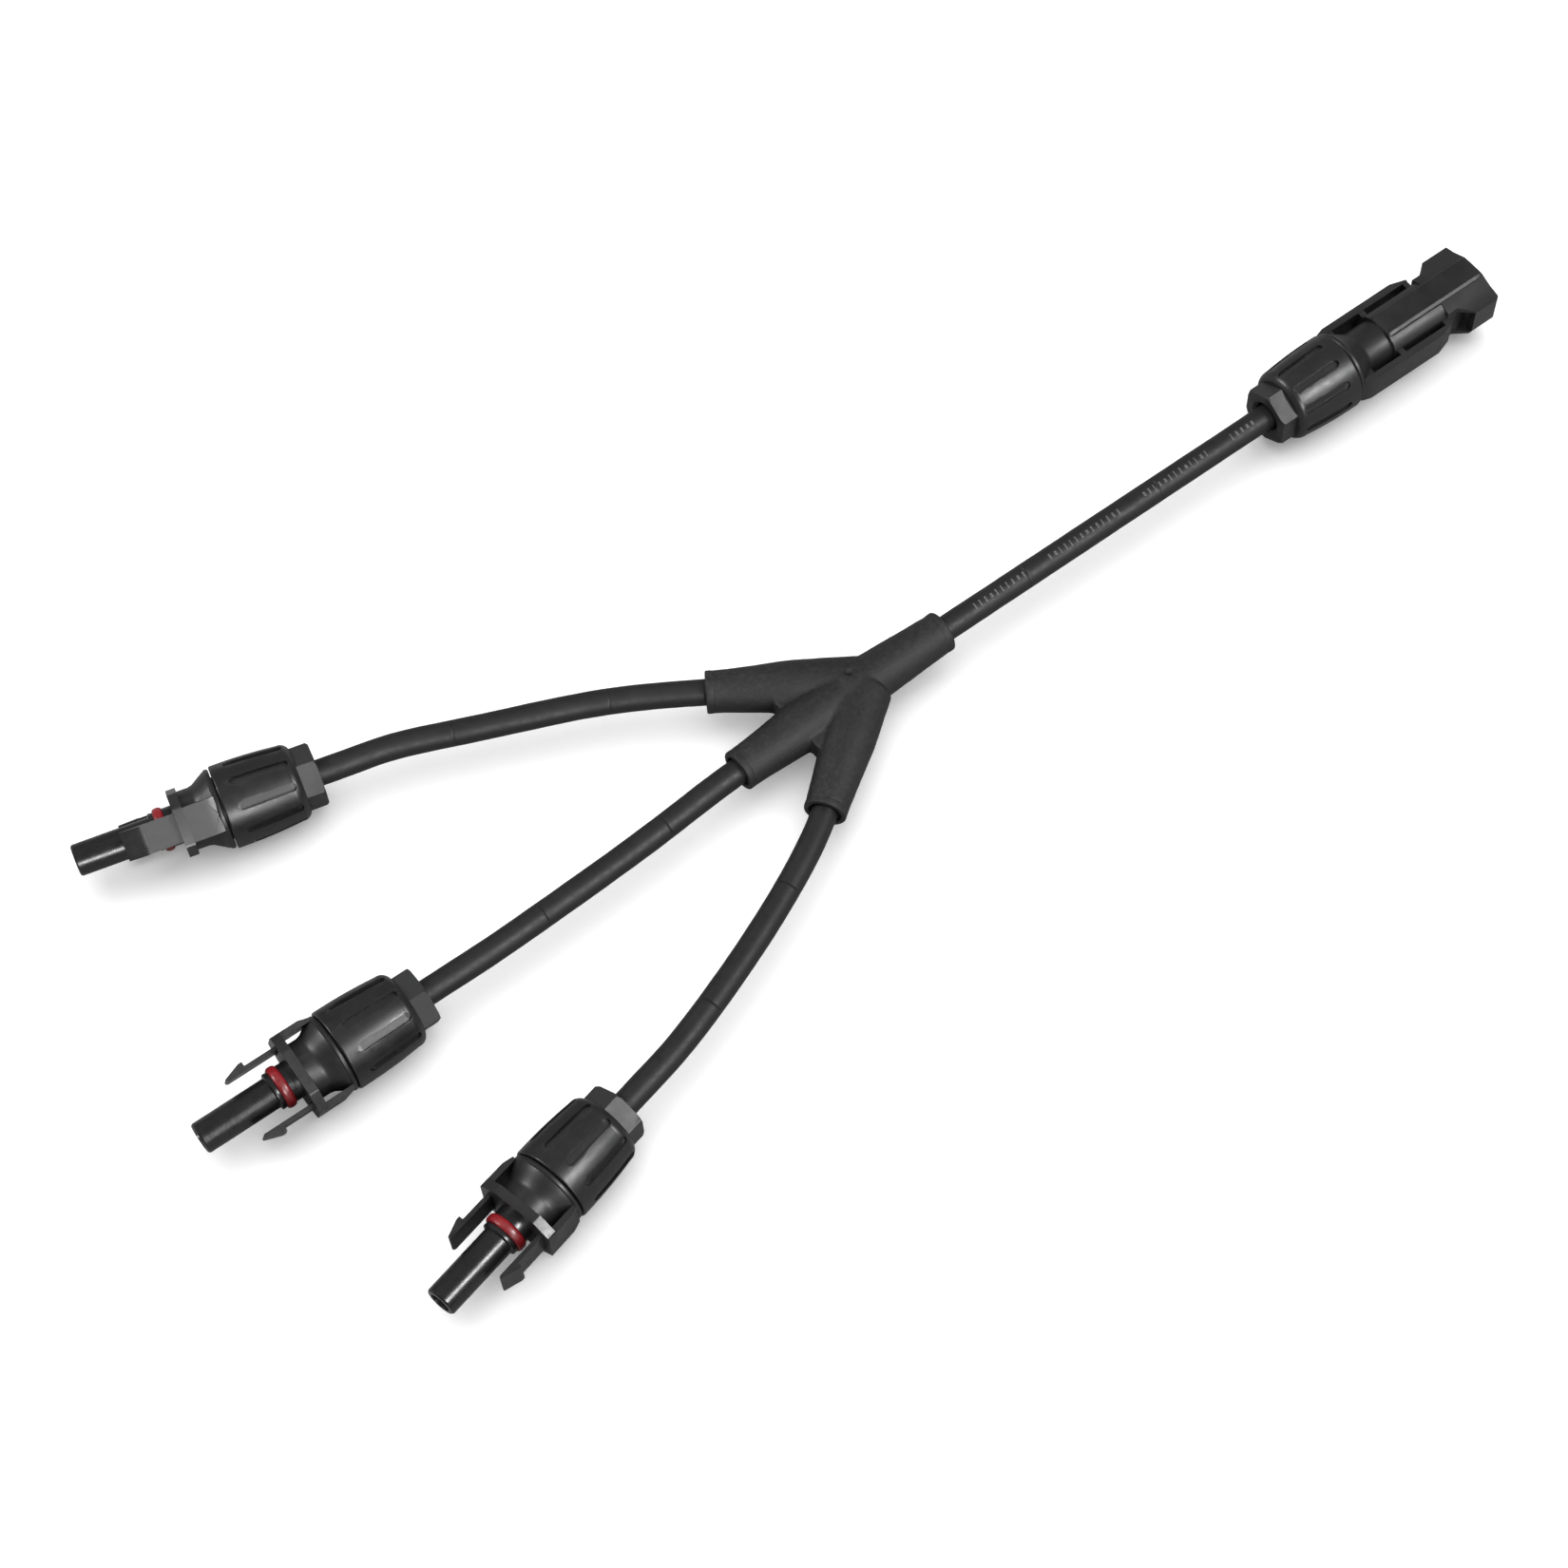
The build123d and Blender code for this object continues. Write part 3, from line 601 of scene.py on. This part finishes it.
for key in LEGS:
    mouth = ARMS[key][1]
    arm_way = heading(*ARMS[key])
    nut, outward = NUTS[key]
    bend_1, bend_2, bend_3 = bend_joints(f"cable_{key}")
    waypoint_1, waypoint_2 = WAYPOINTS[key]
    leg_path = spline([
        step(mouth, arm_way, -11.0), step(mouth, arm_way, -4.0),
        bend_1, waypoint_1, bend_2, waypoint_2, bend_3, step(bend_3, outward, 6.0),
        nut, step(nut, outward, JACKET_REACH / 2), step(nut, outward, JACKET_REACH),
    ], arm_way, outward)
    cable_jacket(f"cable_{key}", leg_path, WAYPOINTS[key])

ring_count = int((SOCKET_X + JACKET_REACH - TRUNK_JACKET_START) / RING_STEP) + 1
trunk_path = np.array([(TRUNK_JACKET_START + RING_STEP * i, 0.0) for i in range(ring_count)])
trunk_joints = bend_joints("cable_trunk")
cable_jacket(
    "trunk", trunk_path,
    splits=[((a[0] + b[0]) / 2, 0) for a, b in zip(trunk_joints, trunk_joints[1:])],
    root_hides=["moulded_in_jackets"],
)

# ------------------------------------------------------------------------------------------------
# branch moulding: arms, ball and webs fused by a voxel remesh, then smoothed and textured
# ------------------------------------------------------------------------------------------------
ARM_STATIONS = 40
LEG_FLATNESS = 0.93  # height over width in the thick part of a leg arm
BALL_X, BALL_RADIUS = -0.5, 6.1
WEB_HALF_THICKNESS = 2.9
# webs in the forks between neighbouring leg arms: outline (x, y)
WEBS = [
    [(3, 2.5), (-14.6, 11.2), (-16.2, 8.2), (-16.4, 6.2), (-16.0, 3.4), (2, -1)],
    [(2, 1), (-15.2, -3.9), (-15.8, -7.0), (-15.6, -9.0), (-13.4, -12.6), (3, -3.5)],
]


def leg_radius(key, t):
    """Radius at share t of the arm's length: full, then narrowing from 0.42 on to the mouth."""
    q = max(0.0, (t - 0.42) / 0.58)
    narrowing = q * q * (3 - 2 * q) * 0.35 + q * 0.65
    swell = 0.04 * math.sin(t * 7 + ord(key))
    return LEG_ROOT_RADIUS + (LEG_MOUTH_RADIUS - LEG_ROOT_RADIUS) * narrowing + swell


def trunk_radius(t):
    return TRUNK_ROOT_RADIUS - 1.32 * t**0.9


def add_arm(bm, key):
    is_leg = key in LEGS
    flatness = LEG_FLATNESS if is_leg else 1.0
    segments = 40
    root, mouth = ARMS[key]
    tip = step(mouth, heading(root, mouth), -RIM_LENGTH)
    n = ARM_STATIONS
    points = [tuple(a + (b - a) * i / n for a, b in zip(root, tip)) for i in range(n + 1)]

    def radius(i, angle):
        return leg_radius(key, i / n) if is_leg else trunk_radius(i / n)

    coords, faces = tube(points, radius, segments)
    verts = []
    for i, co in enumerate(coords):  # flattened at the root, round again at the mouth
        height = flatness + (1 - flatness) * min(1.0, (i // segments) / n) ** 3
        verts.append(bm.verts.new((co[0], co[1], co[2] * height)))
    for face in faces:
        bm.faces.new([verts[i] for i in face])


def add_ball(bm):
    ball = bmesh.ops.create_uvsphere(bm, u_segments=40, v_segments=24, radius=BALL_RADIUS * MM)
    for v in ball["verts"]:
        v.co += Vector((BALL_X * MM, 0, 0))


def add_web(bm, outline):
    z = WEB_HALF_THICKNESS
    lower = [bm.verts.new((x * MM, y * MM, -z * MM)) for x, y in outline]
    upper = [bm.verts.new((x * MM, y * MM, z * MM)) for x, y in outline]
    bm.faces.new(list(reversed(lower)))
    bm.faces.new(upper)
    for i in range(len(outline)):
        j = (i + 1) % len(outline)
        bm.faces.new((lower[i], lower[j], upper[j], upper[i]))


def remesh(obj, voxel):
    modifier = obj.modifiers.new("remesh", "REMESH")
    modifier.mode = "VOXEL"
    modifier.voxel_size = voxel * MM
    depsgraph = bpy.context.evaluated_depsgraph_get()
    mesh = bpy.data.meshes.new_from_object(obj.evaluated_get(depsgraph))
    obj.modifiers.clear()
    obj.data = mesh


def vertex_vectors(mesh, attribute):
    values = np.empty(len(mesh.vertices) * 3)
    mesh.vertices.foreach_get(attribute, values)
    return values.reshape(-1, 3)


def set_coordinates(mesh, co):
    mesh.vertices.foreach_set("co", co.ravel())
    mesh.update()


def smooth_forks(mesh, rounds, factor):
    """Taubin smoothing, which doesn't shrink, strongest in the forks between the arms."""
    co = vertex_vectors(mesh, "co")
    edges = np.empty(len(mesh.edges) * 2, int)
    mesh.edges.foreach_get("vertices", edges)
    edges = edges.reshape(-1, 2)
    neighbours = np.bincount(edges.ravel(), minlength=len(co))[:, None]
    fork_x, fork_y = -9.5, -0.5
    distance = np.hypot(co[:, 0] / MM - fork_x, co[:, 1] / MM - fork_y)
    weight = np.clip(1.15 - distance / 22.0, 0.25, 1.0)[:, None]
    for _ in range(rounds):
        for pull in (factor, -factor * 1.03):
            total = np.zeros_like(co)
            np.add.at(total, edges[:, 0], co[edges[:, 1]])
            np.add.at(total, edges[:, 1], co[edges[:, 0]])
            co = co + pull * weight * (total / neighbours - co)
    set_coordinates(mesh, co)


# swells of the skin: height, frequency per millimetre, shift of the noise
SWELLS = [(0.05, 0.18, (0, 0, 0)), (0.035, 0.55, (9, 2, 1)), (0.018, 1.3, (3, 7, 5))]


def skin_height(q):
    height = sum(high * noise.noise(q * often + Vector(shift)) for high, often, shift in SWELLS)
    gate = math.hypot(q.x - GATE_MARK[0], q.y - GATE_MARK[1])
    if q.z > 0 and gate < 1.6:
        pit = 0.75 * max(0.0, 1 - (gate / 0.95) ** 2) ** 1.2
        lip = 0.10 * math.exp(-(((gate - 1.15) / 0.2) ** 2))
        height -= pit - lip
    return height


def texture_skin(mesh):
    co = vertex_vectors(mesh, "co")
    normals = vertex_vectors(mesh, "normal")
    heights = np.array([skin_height(Vector(p) / MM) for p in co])
    set_coordinates(mesh, co + normals * (heights[:, None] * MM))


def branch_body():
    bm = bmesh.new()
    for key in ARMS:
        add_arm(bm, key)
    add_ball(bm)
    for outline in WEBS:
        add_web(bm, outline)
    obj = link_object("branch_body", finish_bmesh(bm, bpy.data.meshes.new("branch_body")))
    remesh(obj, voxel=0.42)
    smooth_forks(obj.data, rounds=14, factor=0.55)
    texture_skin(obj.data)
    shade_smooth(obj.data)
    assign(obj, RUBBER)
    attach(obj, "branch")
    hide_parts("branch_moulding")


def lathe(name, profile, material, matrix, segments):
    """Closed solid of revolution about local X from a closed (x, radius) profile."""
    n = len(profile)
    verts, faces = [], []
    for k in range(segments):
        a = 2 * math.pi * k / segments
        for x, r in profile:
            spot = Vector((x * MM, r * MM * math.cos(a), r * MM * math.sin(a)))
            verts.append(matrix @ spot)
        k2 = (k + 1) % segments
        for i in range(n):
            j = (i + 1) % n
            faces.append((k * n + i, k * n + j, k2 * n + j, k2 * n + i))
    obj = smooth_object(name, verts, faces, material)
    bm = bmesh.new()
    bm.from_mesh(obj.data)
    finish_bmesh(bm, obj.data)
    return obj


def arc(x, r, radius, start, end, steps):
    """Profile points on an arc about (x, r), between two angles in degrees."""
    angles = [math.radians(start + (end - start) * i / steps) for i in range(steps + 1)]
    return [(x + radius * math.cos(a), r + radius * math.sin(a)) for a in angles]


def branch_rim(key, radius):
    """Rounded collar at an arm's mouth with a shallow recess round the cable."""
    root, mouth = ARMS[key]
    bore = JACKET_RADIUS + 0.04
    profile = [  # (x, radius), x measured outward from the mouth
        (-2.4, radius - 0.35), (-1.6, radius + 0.02), (-1.2, radius + 0.06),
        *arc(x=-0.42, r=radius - 0.36, radius=0.42, start=90, end=0, steps=6),
        *arc(x=-0.3, r=3.95, radius=0.3, start=0, end=-90, steps=4),
        (-0.9, 3.55), (-1.15, 3.4), (-1.2, bore), (-2.4, bore),
    ]
    x = Vector((*heading(root, mouth), 0)).normalized()
    z = Vector((0, 0, 1))
    matrix = axes_matrix((mouth[0] * MM, mouth[1] * MM, 0), x, z.cross(x), z)
    obj = lathe(f"branch_rim_{key}", profile, RUBBER, matrix, segments=64)
    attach(obj, "branch")


branch_body()
for key in ARMS:
    branch_rim(key, LEG_MOUTH_RADIUS if key in LEGS else TRUNK_RIM_RADIUS)

# ------------------------------------------------------------------------------------------------
# connectors: rounded moulded edges on the CAD shapes, and the socket's ribs
# ------------------------------------------------------------------------------------------------
# CAD piece name pattern, bevel width, bevel segments
ROUNDED_PIECES = [
    ("plug_housing*", 0.22, 3),
    ("socket_housing", 0.22, 3),
    ("gland_nut*", 0.20, 3),
    ("latch_arm*", 0.16, 3),
    ("claw_cage*", 0.12, 2),
]
for name, piece in nodes.items():
    for pattern, width, segments in ROUNDED_PIECES:
        if not piece.hide_render and fnmatchcase(name, pattern):
            round_edges(piece, width, segments)

# cross-section of a rib (y, z), and its stations along X from the trunk nut's centre
RIB_SECTION = [(-3.75, 5.7), (-3.50, 6.34), (-2.80, 6.76), (2.80, 6.76), (3.50, 6.34), (3.75, 5.7)]
RIB_STATIONS = [35.1, 36.2] + [38.0 + 2.0 * i for i in range(13)] + [63.6, 64.45]
RIB_END_DIP = 0.25


def socket_rib(side, sign):
    """Flat rib that runs along the top or the underside of the socket to its mouth."""
    bm = bmesh.new()
    rows = []
    for x in RIB_STATIONS:
        dip = RIB_END_DIP if x in (RIB_STATIONS[0], RIB_STATIONS[-1]) else 0.0
        rows.append([
            bm.verts.new(((SOCKET_X + x) * MM, y * MM, sign * (z - dip) * MM))
            for y, z in RIB_SECTION
        ])
    for near, far in zip(rows[:-1], rows[1:]):
        for i in range(len(near)):
            j = (i + 1) % len(near)
            bm.faces.new((near[i], near[j], far[j], far[i]))
    bm.faces.new(list(reversed(rows[0])))
    bm.faces.new(rows[-1])
    name = f"socket_rib_{side}"
    rib = link_object(name, finish_bmesh(bm, bpy.data.meshes.new(name)))
    shade_smooth(rib.data)
    assign(rib, HOUSING)
    round_edges(rib, width=0.07, segments=2, angle=22.0)
    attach(rib, "trunk_c")


socket_rib("top", 1)
socket_rib("under", -1)

# ------------------------------------------------------------------------------------------------
# floor and world (metres from here on)
# ------------------------------------------------------------------------------------------------


def floor_material():
    """The camera sees a white sweep; the object sees a greyer one, so its sides keep depth."""
    m = Material("floor_white", mapped=False)
    m.set("Roughness", 0.75)
    m.set("Specular IOR Level", 0.10)
    tint = m.node("TexNoise", {"Scale": 3.0}).outputs["Fac"]
    tone = m.ramp(tint, {0.0: (0.90, 0.90, 0.90), 1.0: (0.93, 0.93, 0.93)})
    from_camera = m.node("LightPath").outputs["Is Camera Ray"]
    m.set("Base Color", m.mix(from_camera, (0.34, 0.34, 0.34), tone))
    glow = 0.22
    m.set("Emission Color", (1, 1, 1))
    m.set("Emission Strength", m.times(from_camera, glow))
    return m.material


bpy.context.view_layer.update()
lo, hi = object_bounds()
bpy.ops.mesh.primitive_grid_add(
    x_subdivisions=8, y_subdivisions=8, size=6.0, location=(0, 0, lo.z - 0.00005),
)
floor = bpy.context.object
floor.name = "floor"
assign(floor, floor_material())

world = bpy.context.scene.world or bpy.data.worlds.new("studio")
bpy.context.scene.world = world
world.use_nodes = True
background = world.node_tree.nodes["Background"]
background.inputs["Color"].default_value = (1.0, 1.0, 1.0, 1)
background.inputs["Strength"].default_value = 0.16

# ------------------------------------------------------------------------------------------------
# lights and camera
# ------------------------------------------------------------------------------------------------
VIEW_COS, VIEW_SIN = 0.7887, 0.6148  # turn of the view about Z
TARGET = Vector((-0.0312, -0.0604, 0.0))


def view_vector(x, y, z):
    """Vector from x to the camera's right, y away from it along the floor, and z up."""
    return Vector((VIEW_COS * x + VIEW_SIN * y, -VIEW_SIN * x + VIEW_COS * y, z))


def lamp(name, direction, angle, strength, glossy=True, diffuse=True):
    """Distant soft source, seen from the object in the given direction; angle in degrees."""
    light = bpy.data.lights.new(name, "SUN")
    light.energy = strength
    light.angle = math.radians(angle)
    obj = link_object(name, light)
    way = view_vector(*direction).normalized()
    obj.location = TARGET + way
    obj.rotation_euler = way.to_track_quat("Z", "Y").to_euler()
    obj.visible_glossy = glossy
    obj.visible_diffuse = diffuse


# soft light from above for the body of the picture; the narrow ones only draw the highlights
lamp("overhead", direction=(0.05, 0.15, 1.0), angle=85, strength=3.5, glossy=False)
lamp("key_right", direction=(0.66, -0.29, 0.69), angle=12, strength=2.4, diffuse=False)
lamp("front_low", direction=(0.36, -0.80, 0.50), angle=16, strength=2.2, diffuse=False)
lamp("rim_left", direction=(-0.75, 0.10, 0.60), angle=14, strength=1.6, diffuse=False)

CAMERA_ELEVATION = math.radians(63.0)
CAMERA_DISTANCE = 0.6958


def add_camera():
    camera = bpy.data.cameras.new("camera")
    camera.sensor_width = 36.0
    camera.lens = 74.661818
    camera.shift_x, camera.shift_y = -0.0787, 0.1108
    camera.clip_start, camera.clip_end = 0.01, 20
    obj = link_object("camera", camera)
    level, rise = math.cos(CAMERA_ELEVATION), math.sin(CAMERA_ELEVATION)
    eye = TARGET + view_vector(0, -level * CAMERA_DISTANCE, rise * CAMERA_DISTANCE)
    forward = view_vector(0, level, -rise)
    up = view_vector(0, rise, level)
    obj.matrix_world = axes_matrix(eye, forward.cross(up), up, -forward)
    bpy.context.scene.camera = obj


add_camera()
bpy.context.scene.view_settings.view_transform = "Standard"
bpy.context.scene.view_settings.look = "None"
